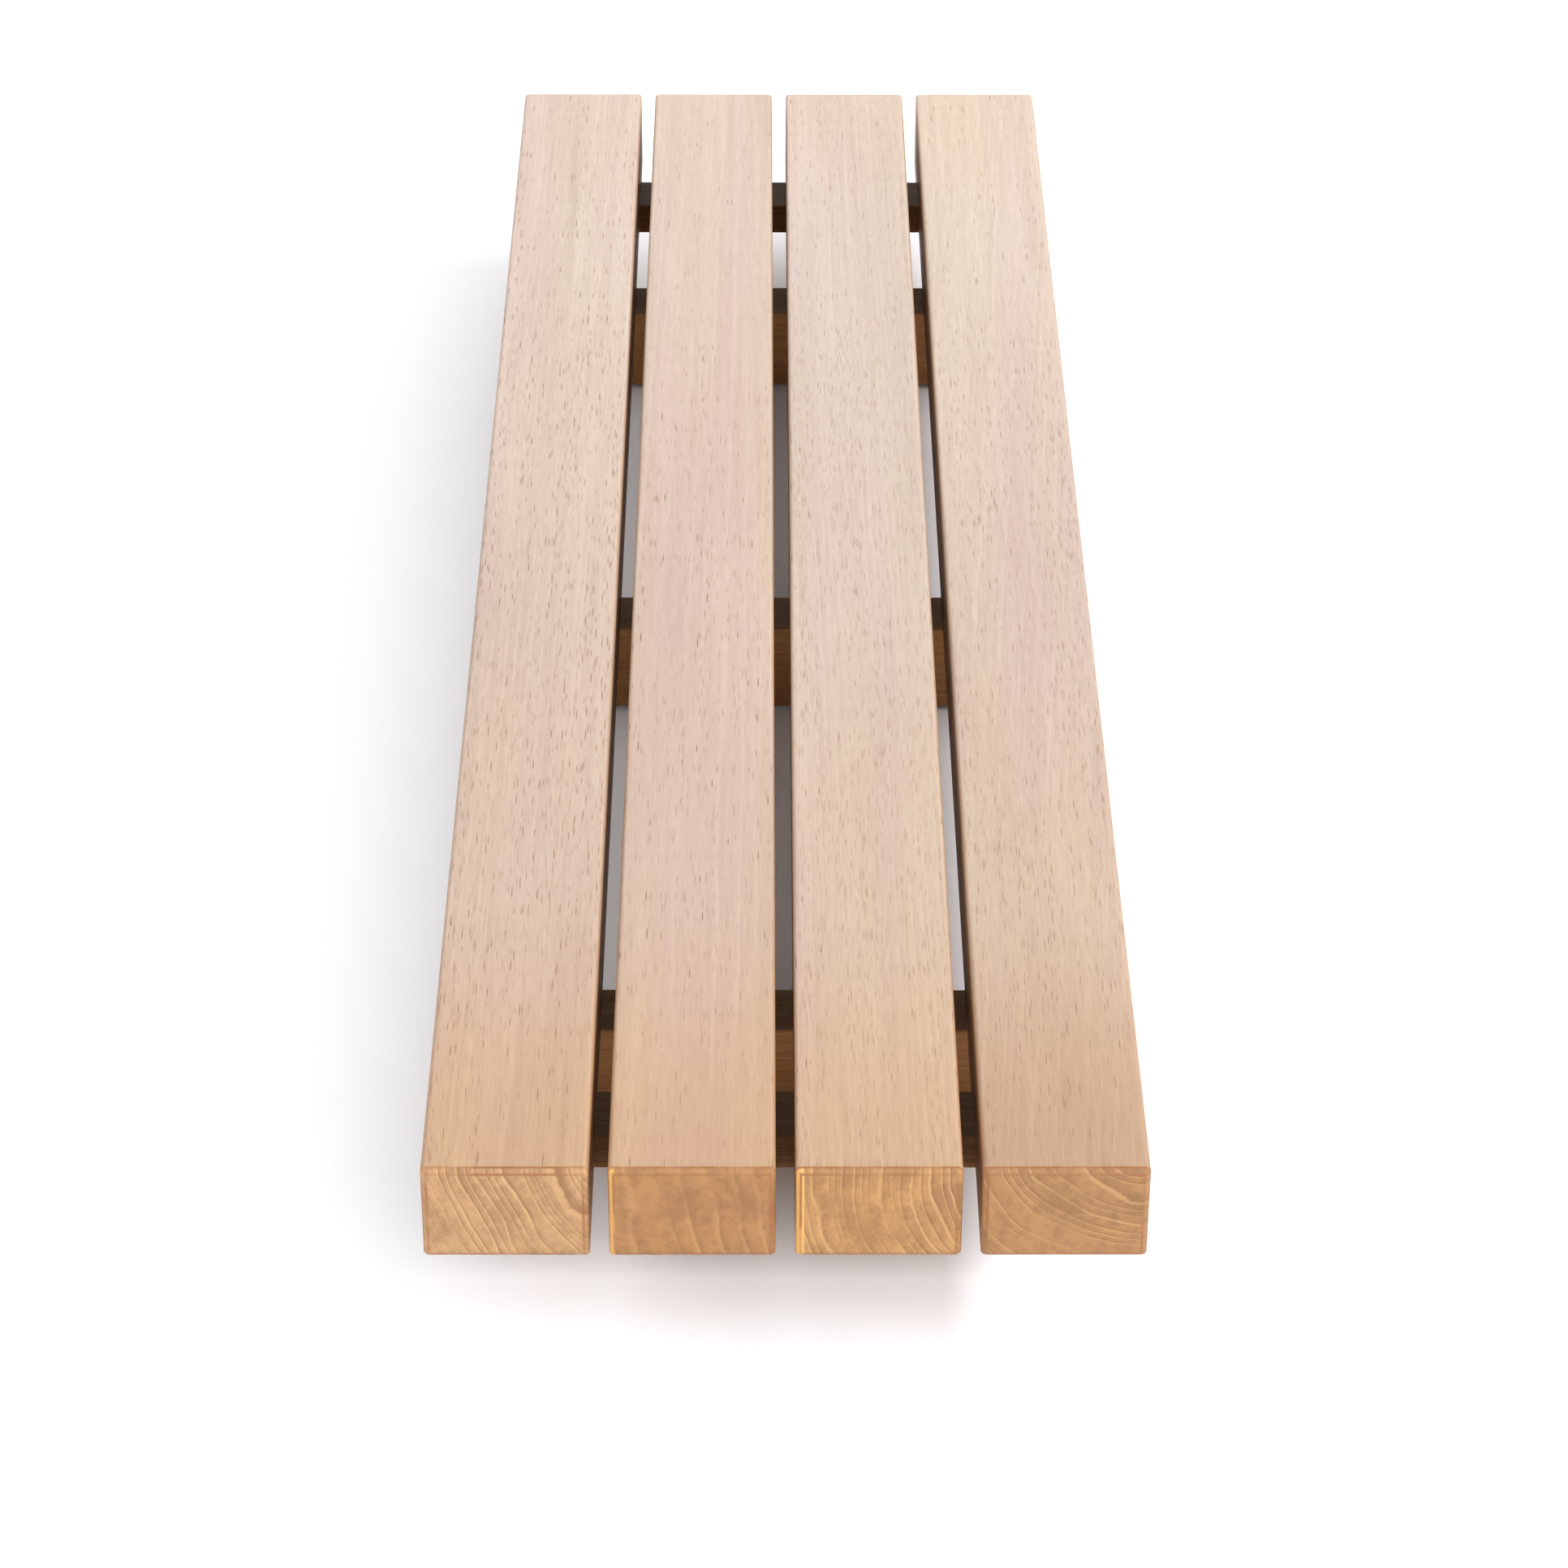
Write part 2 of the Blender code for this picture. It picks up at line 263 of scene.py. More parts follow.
def rod_cutter(radius, bottom, top, x, y, steps, top_radius=None):
    """Make an upright round cutter, which is a cone if it has another radius at the top."""
    shape = bmesh.new()
    bmesh.ops.create_cone(
        shape,
        cap_ends=True,
        segments=steps,
        radius1=radius,
        radius2=radius if top_radius is None else top_radius,
        depth=top - bottom,
        matrix=Matrix.Translation((x, y, (bottom + top) / 2)),
    )
    return link("rod cutter", new_mesh("rod cutter", shape))


def box_cutter(low, high):
    """Make a box-shaped cutter between two corners."""
    low, high = Vector(low), Vector(high)
    matrix = Matrix.Translation((low + high) / 2) @ Matrix.Diagonal((*(high - low), 1.0))
    shape = bmesh.new()
    bmesh.ops.create_cube(shape, size=1.0, matrix=matrix)
    return link("box cutter", new_mesh("box cutter", shape))


# ---------------------------------------------------------------- shader nodes


class Shader:
    """A material under construction. Every method adds one step and returns its output."""

    def __init__(self, name):
        self.material = bpy.data.materials.new(name)
        self.material.use_nodes = True
        self.tree = self.material.node_tree
        self.surface = self.tree.nodes["Principled BSDF"]

    def node(self, kind, inputs=None, **settings):
        """Add a node, set its properties and feed its inputs with values or links."""
        node = self.tree.nodes.new(kind)
        for key, value in settings.items():
            setattr(node, key, value)
        for key, value in (inputs or {}).items():
            self.feed(node.inputs[key], value)
        return node

    def feed(self, socket, value):
        """Link an output to a socket, or set the socket's value."""
        if isinstance(value, bpy.types.NodeSocket):
            self.tree.links.new(value, socket)
        elif isinstance(value, (tuple, list)) and socket.type == "RGBA":
            socket.default_value = (*value, 1.0)
        else:
            socket.default_value = value

    def set(self, name, value):
        """Feed one of the surface's own inputs."""
        self.feed(self.surface.inputs[name], value)

    def math(self, operation, first, second=0.0, third=0.0):
        """Work out one number."""
        inputs = {0: first, 1: second, 2: third}
        return self.node("ShaderNodeMath", inputs, operation=operation).outputs[0]

    def product(self, *factors):
        """Multiply numbers, from the first to the last."""
        result = factors[0]
        for factor in factors[1:]:
            result = self.math("MULTIPLY", result, factor)
        return result

    def vector(self, operation, first, second):
        """Work out one vector."""
        node = self.node("ShaderNodeVectorMath", {0: first, 1: second}, operation=operation)
        return node.outputs["Vector"]

    def combine(self, x, y=0.0):
        """Put numbers together as a vector."""
        return self.node("ShaderNodeCombineXYZ", {0: x, 1: y}).outputs[0]

    def separate(self, vector):
        """Take the X, Y and Z of a vector apart."""
        return self.node("ShaderNodeSeparateXYZ", {0: vector}).outputs

    def ramp(self, value, low, high, to_low=0.0, to_high=1.0):
        """Pass a number smoothly from one range to another."""
        inputs = {"Value": value, "From Min": low, "From Max": high}
        inputs.update({"To Min": to_low, "To Max": to_high})
        node = self.node("ShaderNodeMapRange", inputs, interpolation_type="SMOOTHSTEP", clamp=True)
        return node.outputs["Result"]

    def noise(self, place, scale, detail=2.0, roughness=0.5):
        """Sample noise at a place stretched by a scale for each axis."""
        stretched = self.vector("MULTIPLY", place, scale)
        inputs = {"Vector": stretched, "Scale": 1.0, "Detail": detail, "Roughness": roughness}
        return self.node("ShaderNodeTexNoise", inputs).outputs["Fac"]

    def mix(self, share, first, second, blend="MIX"):
        """Mix two colours."""
        node = self.node("ShaderNodeMix", data_type="RGBA", blend_type=blend)
        self.feed(node.inputs["Factor"], share)
        self.feed(node.inputs[6], first)
        self.feed(node.inputs[7], second)
        return node.outputs[2]

    def tint(self, share, color, factors):
        """Multiply a colour by red, green and blue factors, as strongly as share says."""
        return self.mix(share, color, self.mix(1.0, color, factors, "MULTIPLY"))

    def relief(self, height, strength, distance):
        """Raise and lower the surface a little by a height."""
        inputs = {"Height": height, "Strength": strength, "Distance": distance}
        self.set("Normal", self.node("ShaderNodeBump", inputs).outputs[0])


# ---------------------------------------------------------------- wood

# Colours of the wood's details
FACE_LATE_WOOD = (0.30, 0.16, 0.09)
FACE_PALE_LINE = (0.85, 0.68, 0.52)
FACE_YELLOW_TINT = (1.0, 1.01, 0.94)
FACE_PINK_TINT = (0.99, 0.975, 1.0)
# painted shade on the long side faces and their rounds
SIDE_FACE_SHADE = (0.95, 0.82, 0.68)
END_LATE_WOOD = (0.20, 0.085, 0.030)
END_DARK_LINE = (0.17, 0.068, 0.022)
END_PALE_LINE = (0.66, 0.41, 0.18)
# painted highlight colour for the end grain's -X edge
END_LEFT_HIGHLIGHT = (0.62, 0.34, 0.10)
HANDLED_ARRIS = (0.25, 0.092, 0.026)
PORE_COLOR = (0.20, 0.095, 0.045)

# How far the pores darken the long faces and the end grain
FACE_PORE_DEPTH = 0.92
END_PORE_DEPTH = 0.368

# Cells for each metre across, along and through a board, with at most one pore in each
STRONG_PORE_CELLS = (1050.0, 78.0, 1050.0)
FAINT_PORE_CELLS = (900.0, 66.0, 900.0)

# How far slow noise pushes the growth rings
RING_WANDER = 0.007

# How far along a board the painted shade at the end at -Y reaches, which makes that end darker and
# warmer
NEAR_SHADE_REACH = 0.19

# Half the width of the soft edge of the painted highlight band along an end's -X edge
HIGHLIGHT_EDGE = 0.0004

# Half widths of the dark lines along the arrises of an end, and of the full-strength part in them
FACE_LINE_WIDTH = 0.0007
END_LINE_WIDTH = 0.0008
LINE_CORE_WIDTH = 0.0001


class Wood(Shader):
    """Wood under construction, with its fibres along the piece's own Y axis."""

    def __init__(self, name, seed):
        super().__init__(name)
        coordinates = self.node("ShaderNodeTexCoord")
        place = coordinates.outputs["Object"]
        self.x, self.y, self.z = self.separate(place)
        self.normal = self.separate(coordinates.outputs["Normal"])
        # each board samples the noise somewhere else
        self.place = self.vector("ADD", place, (seed * 1.37, seed * 0.71, seed * 2.03))
        self.end = self.ramp(self.math("ABSOLUTE", self.normal[1]), 0.30, 0.72)
        self.long_side = self.math("SUBTRACT", 1.0, self.end)
        self.streak = self.grain(260.0, 5.0, 3.0, 0.6)
        self.fibre = self.grain(1500.0, 90.0, 2.0, 0.6)

    def grain(self, across, along, detail=1.0, roughness=0.5):
        """Sample noise with one scale across the fibres and another along them."""
        return self.noise(self.place, (across, along, across), detail, roughness)

    def growth_rings(self, seed, pith, lean, ring_width):
        """Draw growth rings around the pith, bent by slow noise and unevenly spaced.

        Returns how strong three things are: the darker late wood, the pale line just after a ring
        starts and the dark line just before it ends.
        """
        across = self.math("SUBTRACT", self.math("MULTIPLY_ADD", self.y, -lean[0], self.x), pith[0])
        upward = self.math("SUBTRACT", self.math("MULTIPLY_ADD", self.y, -lean[1], self.z), pith[1])
        squares = self.math("MULTIPLY_ADD", across, across, self.product(upward, upward))
        rings = self.math("DIVIDE", self.math("SQRT", squares), ring_width)
        spacing = {"W": self.math("MULTIPLY_ADD", rings, 0.45, seed), "Scale": 1.0, "Detail": 0.0}
        uneven = self.node("ShaderNodeTexNoise", spacing, noise_dimensions="1D").outputs["Fac"]
        rings = self.math("MULTIPLY_ADD", uneven, 1.7, rings)
        rings = self.math("MULTIPLY_ADD", self.grain(30.0, 2.4), RING_WANDER / ring_width, rings)
        rings = self.math("MULTIPLY_ADD", self.grain(110.0, 8.0, 2.0), 0.30, rings)
        phase = self.math("FRACT", rings)
        number = {"W": self.math("FLOOR", rings)}
        each = self.node("ShaderNodeTexWhiteNoise", number, noise_dimensions="1D").outputs["Value"]
        patch = self.ramp(self.grain(42.0, 6.0), 0.36, 0.62)
        patch_share = self.math("MULTIPLY_ADD", patch, 0.7, 0.3)
        strength = self.product(self.math("MULTIPLY_ADD", each, 0.8, 0.4), patch_share)
        late = self.product(self.ramp(phase, 0.35, 0.92), self.ramp(phase, 1.0, 0.94))
        pale = self.product(self.ramp(phase, 0.0, 0.06), self.ramp(phase, 0.26, 0.10))
        dark = self.product(self.ramp(phase, 0.72, 0.94), self.ramp(phase, 1.0, 0.97))
        return [self.product(part, strength) for part in (late, pale, dark)]

    def pore_layer(self, wobble, cells, share, weakest, spread):
        """Draw long thin pores, one in each cell of a stretched grid, in a share of the cells."""
        stretched = self.vector("ADD", self.vector("MULTIPLY", self.place, cells), wobble)
        cell = self.node("ShaderNodeTexVoronoi", {"Vector": stretched, "Scale": 1.0}).outputs
        tone = self.node("ShaderNodeSeparateColor", {0: cell["Color"]}).outputs
        width = self.math("MULTIPLY_ADD", tone[0], 0.20, 0.13)
        spot = self.ramp(self.math("DIVIDE", cell["Distance"], width), 1.35, 0.65)
        kept = self.product(spot, self.math("GREATER_THAN", share, tone[1]))
        depth = self.math("MULTIPLY_ADD", self.math("POWER", tone[2], 1.5), spread, weakest)
        return self.product(kept, depth)

    def pores(self, share):
        """Draw pores: dashes on the long faces, dots on the end grain, the strong ones in rows."""
        wobble = self.combine(self.product(self.grain(35.0, 9.0), 3.0))
        rows = self.ramp(self.grain(430.0, 2.2, 0.0), 0.50, 0.60)
        crowd = self.ramp(self.grain(48.0, 2.6), 0.36, 0.56, 0.40, 1.0)
        fewer_far_away = self.ramp(self.y, 0.0, 0.30, 1.35, 0.30)
        fewer_near_end = self.ramp(self.y, -0.43, -0.30, 0.50, 1.0)
        crowd = self.product(crowd, share, fewer_far_away, fewer_near_end)
        strong_share = self.product(crowd, self.math("MULTIPLY_ADD", rows, 0.72, 0.28))
        strong = self.pore_layer(wobble, STRONG_PORE_CELLS, strong_share, 0.36, 0.64)
        faint = self.pore_layer(wobble, FAINT_PORE_CELLS, self.product(crowd, 0.75), 0.14, 0.26)
        return self.math("MAXIMUM", strong, faint)

    def long_faces(self, colors, late, pale, half, painted_sheen, near_end_shade, top_shade):
        """Colour the long faces."""
        fleck = self.grain(800.0, 62.0, 2.0, 0.6)
        blush = self.grain(26.0, 3.0, 2.0)
        tone = self.math("MULTIPLY_ADD", blush, 1.7, -1.6)
        tone = self.math("MULTIPLY_ADD", self.streak, 0.9, tone)
        tone = self.math("MULTIPLY_ADD", fleck, 1.6, tone)
        color = self.mix(tone, *colors)
        pink = self.ramp(self.grain(38.0, 2.0), 0.36, 0.64)
        yellow_wood = self.mix(1.0, color, FACE_YELLOW_TINT, "MULTIPLY")
        pink_wood = self.mix(1.0, color, FACE_PINK_TINT, "MULTIPLY")
        color = self.mix(pink, yellow_wood, pink_wood)
        color = self.mix(late, color, FACE_LATE_WOOD)
        color = self.mix(pale, color, FACE_PALE_LINE)
        # painted shade: the long side faces and their rounds are darker and more orange
        sideways = self.ramp(self.math("ABSOLUTE", self.normal[0]), 0.30, 0.92)
        color = self.tint(sideways, color, SIDE_FACE_SHADE)
        # painted sheen: the long faces are paler and cooler along the middle and far part, where light
        # from behind glances off them
        sheen_share = self.product(self.ramp(self.y, -0.26, -0.06), self.ramp(self.y, 0.42, 0.28))
        color = self.tint(sheen_share, color, painted_sheen)
        # painted shade: the wood turns darker and warmer towards the end at -Y
        near_end = self.ramp(self.y, -half[1] + NEAR_SHADE_REACH, -half[1])
        color = self.tint(near_end, color, near_end_shade)
        # painted shade: upward faces are darker by this factor, for the bearers' and strips' tops down
        # in the gaps
        return self.tint(self.ramp(self.normal[2], 0.55, 0.90), color, (top_shade, top_shade, top_shade))

    def end_grain(self, colors, late, pale, dark, half, left_highlight_width):
        """Colour the end grain."""
        mottle = self.noise(self.place, (300.0, 120.0, 300.0), 3.0, 0.6)
        blotch = self.noise(self.place, (75.0, 20.0, 55.0), 2.0, 0.55)
        tone = self.math("MULTIPLY_ADD", mottle, 0.45, self.product(blotch, 0.55))
        color = self.mix(self.ramp(tone, 0.37, 0.63), *colors)
        color = self.mix(late, color, END_LATE_WOOD)
        color = self.mix(dark, color, END_DARK_LINE)
        color = self.mix(pale, color, END_PALE_LINE)
        # painted highlight: a pale orange strip along the end grain's -X edge, where light from the
        # left falls on the chamfer
        band_edge = -half[0] + left_highlight_width
        painted_highlight = self.ramp(self.x, band_edge + HIGHLIGHT_EDGE, band_edge - HIGHLIGHT_EDGE)
        return self.mix(self.product(painted_highlight, 0.9), color, END_LEFT_HIGHLIGHT)

    def arrises(self, half):
        """Draw broken lines where an end's chamfer meets the long faces and the end face.

        They lie where a slat's chamfer has them, on the smaller chamfers of the other boards too.
        """
        past_x, past_y, past_z = [
            self.math("SUBTRACT", self.math("ABSOLUTE", axis), size - SLAT_END_CHAMFER)
            for axis, size in ((self.x, half[0]), (self.y, half[1]), (self.z, half[2]))
        ]
        face_line = self.math("ABSOLUTE", past_y)
        end_line = self.math("ABSOLUTE", self.math("MAXIMUM", past_x, past_z))
        # the second line is kept off the long faces
        end_line = self.math("ADD", end_line, self.product(self.long_side, 0.01))
        face_line = self.ramp(face_line, FACE_LINE_WIDTH, LINE_CORE_WIDTH)
        end_line = self.ramp(end_line, END_LINE_WIDTH, LINE_CORE_WIDTH)
        broken = self.ramp(self.grain(70.0, 70.0, 2.0, 0.6), 0.34, 0.62, 0.35, 0.92)
        return self.product(self.math("MAXIMUM", face_line, end_line), broken)


def wood(
    name,
    seed,
    half,
    pith,
    lean,
    ring_width,
    faces,
    ends,
    ring_depth,
    line_depth=0.45,
    pore_share=1.0,
    near_end_shade=(1.0, 1.0, 1.0),
    painted_sheen=(1.0, 1.0, 1.0),
    gloss=0.5,
    top_shade=1.0,
    left_highlight_width=0.0,
):
    """Make solid wood whose fibres run along a piece's own Y axis.

    half is half the piece's size. pith is where the trunk's centre passes the piece's middle section,
    and lean how far it drifts sideways for each metre along the piece. faces and ends are the lightest
    and the darkest colour of the long faces and of the end grain. ring_depth says how dark the late
    wood is, and line_depth how pale the lines between the rings are on the end grain. pore_share scales
    how many pores there are. near_end_shade multiplies the colour near the end at -Y, painted shade
    that makes that end darker and warmer; painted_sheen multiplies the colour along the middle, a
    painted sheen that makes it paler and cooler; and top_shade multiplies that of upward faces, painted
    shade on the tops. gloss is the specular level. left_highlight_width is the width of a painted
    highlight, a pale orange strip along the end grain's -X edge where light from the left falls.
    """
    s = Wood(name, seed)
    late, pale, dark = s.growth_rings(seed, pith, lean, ring_width)
    pore = s.pores(pore_share)

    face_late = s.product(late, 0.6 * ring_depth)
    face_pale = s.product(pale, 0.05)
    face_color = s.long_faces(faces, face_late, face_pale, half, painted_sheen, near_end_shade, top_shade)
    end_late = s.product(late, 1.6 * ring_depth)
    end_pale = s.product(pale, line_depth)
    end_dark = s.product(dark, 2.4 * ring_depth)
    end_color = s.end_grain(ends, end_late, end_pale, end_dark, half, left_highlight_width)
    color = s.mix(s.end, face_color, end_color)
    color = s.mix(s.arrises(half), color, HANDLED_ARRIS)

    # fine fibre and pores over everything
    fine = s.math("MULTIPLY_ADD", s.fibre, 0.24, 0.88)
    fine = s.node("ShaderNodeCombineColor", {0: fine, 1: fine, 2: fine}).outputs[0]
    color = s.mix(1.0, color, fine, "MULTIPLY")
    more_on_faces = FACE_PORE_DEPTH - END_PORE_DEPTH
    pore_depth = s.math("MULTIPLY_ADD", s.long_side, more_on_faces, END_PORE_DEPTH)
    s.set("Base Color", s.mix(s.product(pore, pore_depth), color, PORE_COLOR))

    rough = s.math("MULTIPLY_ADD", s.streak, 0.20, 0.36)
    rough = s.math("MULTIPLY_ADD", pore, 0.2, rough)
    s.set("Roughness", s.math("MULTIPLY_ADD", s.end, 0.16, rough))
    s.set("Specular IOR Level", gloss)
    height = s.math("MULTIPLY_ADD", s.fibre, 0.6, s.streak)
    s.relief(s.math("MULTIPLY_ADD", pore, -1.4, height), 0.4, 0.00015)
    return s.material


# Each slat is cut from another place in a trunk
SLAT_LOOKS = {
    "slat_1": {
        "seed": 3.1,
        "pith": (0.105, 0.044),
        "lean": (0.020, 0.000),
        "ring_width": 0.0034,
        "faces": ((0.429, 0.313, 0.234), (0.373, 0.261, 0.192)),
        "ends": ((0.412, 0.235, 0.107), (0.294, 0.159, 0.067)),
        "ring_depth": 0.20,
        "line_depth": 0.40,
        "pore_share": 1.25,
        "painted_sheen": (1.000, 1.025, 1.110),
        "near_end_shade": (0.970, 0.820, 0.620),
    },
    "slat_2": {
        "seed": 7.4,
        "pith": (0.260, 0.050),
        "lean": (0.012, 0.010),
        "ring_width": 0.0085,
        "faces": ((0.423, 0.303, 0.230), (0.371, 0.255, 0.190)),
        "ends": ((0.333, 0.159, 0.053), (0.242, 0.111, 0.037)),
        "ring_depth": 0.13,
        "line_depth": 0.16,
        "left_highlight_width": 0.0022,
        "pore_share": 0.55,
        "painted_sheen": (1.000, 1.015, 1.040),
        "near_end_shade": (0.990, 0.850, 0.670),
    },
    "slat_3": {
        "seed": 12.8,
        "pith": (0.065, 0.020),
        "lean": (-0.015, 0.010),
        "ring_width": 0.0035,
        "faces": ((0.423, 0.312, 0.237), (0.368, 0.260, 0.194)),
        "ends": ((0.388, 0.204, 0.071), (0.277, 0.136, 0.046)),
        "ring_depth": 0.20,
        "line_depth": 0.34,
        "left_highlight_width": 0.0032,
        "pore_share": 1.40,
        "painted_sheen": (0.990, 1.030, 1.100),
        "near_end_shade": (0.980, 0.840, 0.670),
    },
    "slat_4": {
        "seed": 18.3,
        "pith": (0.055, 0.050),
        "lean": (0.060, 0.015),
        "ring_width": 0.0042,
        "faces": ((0.426, 0.312, 0.234), (0.370, 0.259, 0.190)),
        "ends": ((0.320, 0.159, 0.056), (0.232, 0.111, 0.039)),
        "ring_depth": 0.16,
        "line_depth": 0.25,
        "pore_share": 0.95,
        "painted_sheen": (1.000, 1.035, 1.110),
        "near_end_shade": (0.840, 0.690, 0.560),
    },
}
BEARER_LOOK = {
    "faces": ((0.375, 0.212, 0.105), (0.255, 0.130, 0.056)),
    "ends": ((0.28, 0.14, 0.06), (0.20, 0.095, 0.038)),
    "ring_depth": 0.24,
    "gloss": 0.05,
    "top_shade": 0.80,
}
# The strips' colours are painted shade: far darker than the bearers' wood, as the strips sit in shade
# under the slats
STRIP_SHADED_LOOK = {
    "faces": ((0.165, 0.092, 0.042), (0.110, 0.056, 0.024)),
    "ends": ((0.16, 0.08, 0.034), (0.11, 0.052, 0.021)),
    "ring_depth": 0.24,
    "gloss": 0.05,
    "top_shade": 0.90,
}


# ---------------------------------------------------------------- other materials


def steel():
    """Make satin stainless steel with fine turning marks around the piece's own Z axis."""
    s = Shader("stainless steel")
    place = s.node("ShaderNodeTexCoord").outputs["Object"]
    x, y, z = s.separate(place)
    radius = s.math("SQRT", s.math("MULTIPLY_ADD", x, x, s.product(y, y)))
    marks = s.noise(s.combine(radius, z), (16000.0, 16000.0, 1.0), 2.0, 0.6)
    smear = s.noise(place, (420.0, 420.0, 420.0), 3.0, 0.6)
    s.set("Base Color", s.mix(smear, (0.52, 0.52, 0.51), (0.66, 0.66, 0.64)))
    s.set("Metallic", 1.0)
    s.set("Roughness", s.math("MULTIPLY_ADD", marks, 0.22, 0.20))
    s.relief(marks, 0.2, 0.00003)
    return s.material


def rubber():
    """Make matt black rubber with a fine moulded texture and a little dust."""
    s = Shader("black rubber")
    place = s.node("ShaderNodeTexCoord").outputs["Object"]
    texture = s.noise(place, (5200.0, 5200.0, 5200.0), 2.0, 0.6)
    dust = s.ramp(s.noise(place, (260.0, 260.0, 260.0), 3.0, 0.6), 0.45, 0.75)
    s.set("Base Color", s.mix(dust, (0.016, 0.016, 0.017), (0.055, 0.052, 0.048)))
    s.set("Roughness", s.math("MULTIPLY_ADD", dust, 0.18, 0.66))
    s.relief(texture, 0.3, 0.00005)
    return s.material


def floor_material():
    """Make the plain pale floor."""
    s = Shader("pale floor")
    place = s.node("ShaderNodeTexCoord").outputs["Object"]
    mottle = s.noise(place, (3.0, 3.0, 3.0))
    s.set("Base Color", s.mix(mottle, (0.935, 0.950, 0.985), (0.950, 0.963, 0.993)))
    s.set("Roughness", 0.8)
    s.set("Specular IOR Level", 0.1)
    return s.material


# ---------------------------------------------------------------- slats, bearers, strips


def make_slats():
    """Make the slats, with housings for the strips and pilot holes for the screws."""
    for number, node in zip(SCREW_NUMBERS, SLATS):
        middle, size = middle_and_size(node)
        seed = float(number)
        mesh = board_mesh(node + "_wood", size, SLAT_EDGE_RADIUS, SLAT_END_CHAMFER, seed)
        slat = link(node + "_wood", mesh, middle)
        cutters = []
        for strip in STRIPS:
            low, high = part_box(strip)
            room = Vector((OVERCUT, HOUSING_ROOM, HOUSING_ROOM))
            low, high = low - room, high + room
            cutters.append(box_cutter((low.x, low.y, low.z - HOUSING_OVERCUT), high))
        for row in BEARERS + STRIPS:
            low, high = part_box(f"{row}_screw_{number}")
            center = (low + high) / 2
            radius = BEARER_HOLE_RADIUS if row in BEARERS else STRIP_HOLE_RADIUS
            # the pilot hole's cutter starts half a slat's thickness below the slat
            bottom, top = middle.z - size.z, high.z + PILOT_PAST_TIP
            cutters.append(rod_cutter(radius, bottom, top, center.x, center.y, NARROW_HOLE_STEPS))
        cut_away(slat, cutters)
        shade(slat.data, WOOD_SHARP_ANGLE)
        material = wood(node + " wood", half=size / 2, **SLAT_LOOKS[node])
        finish_piece(slat, node, material)


def bearer_holes(x, y, bottom, top):
    """Make the cutters of a counterbore from below and the clearance hole above it."""
    seat = bottom + COUNTERBORE_DEPTH
    return [
        rod_cutter(COUNTERBORE_RADIUS, bottom - OVERCUT, seat, x, y, WIDE_HOLE_STEPS),
        rod_cutter(BEARER_HOLE_RADIUS, bottom, top + OVERCUT, x, y, NARROW_HOLE_STEPS),
    ]


def strip_holes(x, y, bottom, top, head_bottom):
    """Make the cutters of a countersink from below and the clearance hole above it."""
    low, high = head_bottom - COUNTERSINK_OVERCUT, head_bottom + COUNTERSINK_DEPTH
    tip_radius = COUNTERSINK_TIP_RADIUS
    return [
        rod_cutter(COUNTERSINK_RADIUS, low, high, x, y, WIDE_HOLE_STEPS, tip_radius),
        rod_cutter(STRIP_HOLE_RADIUS, bottom - OVERCUT, top + OVERCUT, x, y, NARROW_HOLE_STEPS),
    ]


def make_crosspieces():
    """Make the bearers and the end strips, with their fibres along X."""
    quarter_turn = -math.pi / 2
    for index, node in enumerate(BEARERS + STRIPS):
        is_bearer = node in BEARERS
        middle, size = middle_and_size(node)
        radius = BEARER_EDGE_RADIUS if is_bearer else STRIP_EDGE_RADIUS
        chamfer = BEARER_END_CHAMFER if is_bearer else STRIP_END_CHAMFER
        own_size = Vector((size.y, size.x, size.z))
        mesh = board_mesh(node + "_wood", own_size, radius, chamfer, index + 6.0)
        board = link(node + "_wood", mesh, middle, quarter_turn)
        bottom, top = middle.z - size.z / 2, middle.z + size.z / 2
        cutters = []
        for number in SCREW_NUMBERS:
            low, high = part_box(f"{node}_screw_{number}")
            center = (low + high) / 2
            if is_bearer:
                cutters += bearer_holes(center.x, center.y, bottom, top)
            else:
                cutters += strip_holes(center.x, center.y, bottom, top, low.z)
        cut_away(board, cutters)
        shade(board.data, WOOD_SHARP_ANGLE)
        material = wood(
            node + " wood",
            seed=31.0 + 5.3 * index,
            half=own_size / 2,
            pith=(0.050 - 0.030 * index, 0.060),
            lean=(0.03, 0.02),
            ring_width=0.0048,
            **(BEARER_LOOK if is_bearer else STRIP_SHADED_LOOK),
        )
        finish_piece(board, node, material)


# ---------------------------------------------------------------- screws and feet


def pan_head(radius):
    """List a pan head's profile as (radius, height), from its crown to its neck."""
    profile = [(0.0, 0.0)]
    for step in range(1, PAN_CROWN_STEPS + 1):
        angle = math.pi / 2 * step / PAN_CROWN_STEPS
        height = PAN_CROWN_HEIGHT * (1 - math.cos(angle))
        profile.append((radius * math.sin(angle) ** 0.8, height))
    profile.append((radius, PAN_HEAD_HEIGHT - PAN_ARRIS))
    profile.append((radius - PAN_ARRIS, PAN_HEAD_HEIGHT))
    profile.append((PAN_NECK_RADIUS, PAN_HEAD_HEIGHT))
    return profile


def countersunk_head(radius):
    """List a countersunk head's profile as (radius, height), from its flat face to its neck."""
    return [
        (0.0, 0.0),
        (radius * 0.55, 0.0),
        (radius - SUNK_ARRIS, 0.0),
        (radius, SUNK_ARRIS),
        (radius, SUNK_RIM_HEIGHT),
        (SUNK_NECK_RADIUS, SUNK_HEAD_HEIGHT),
    ]


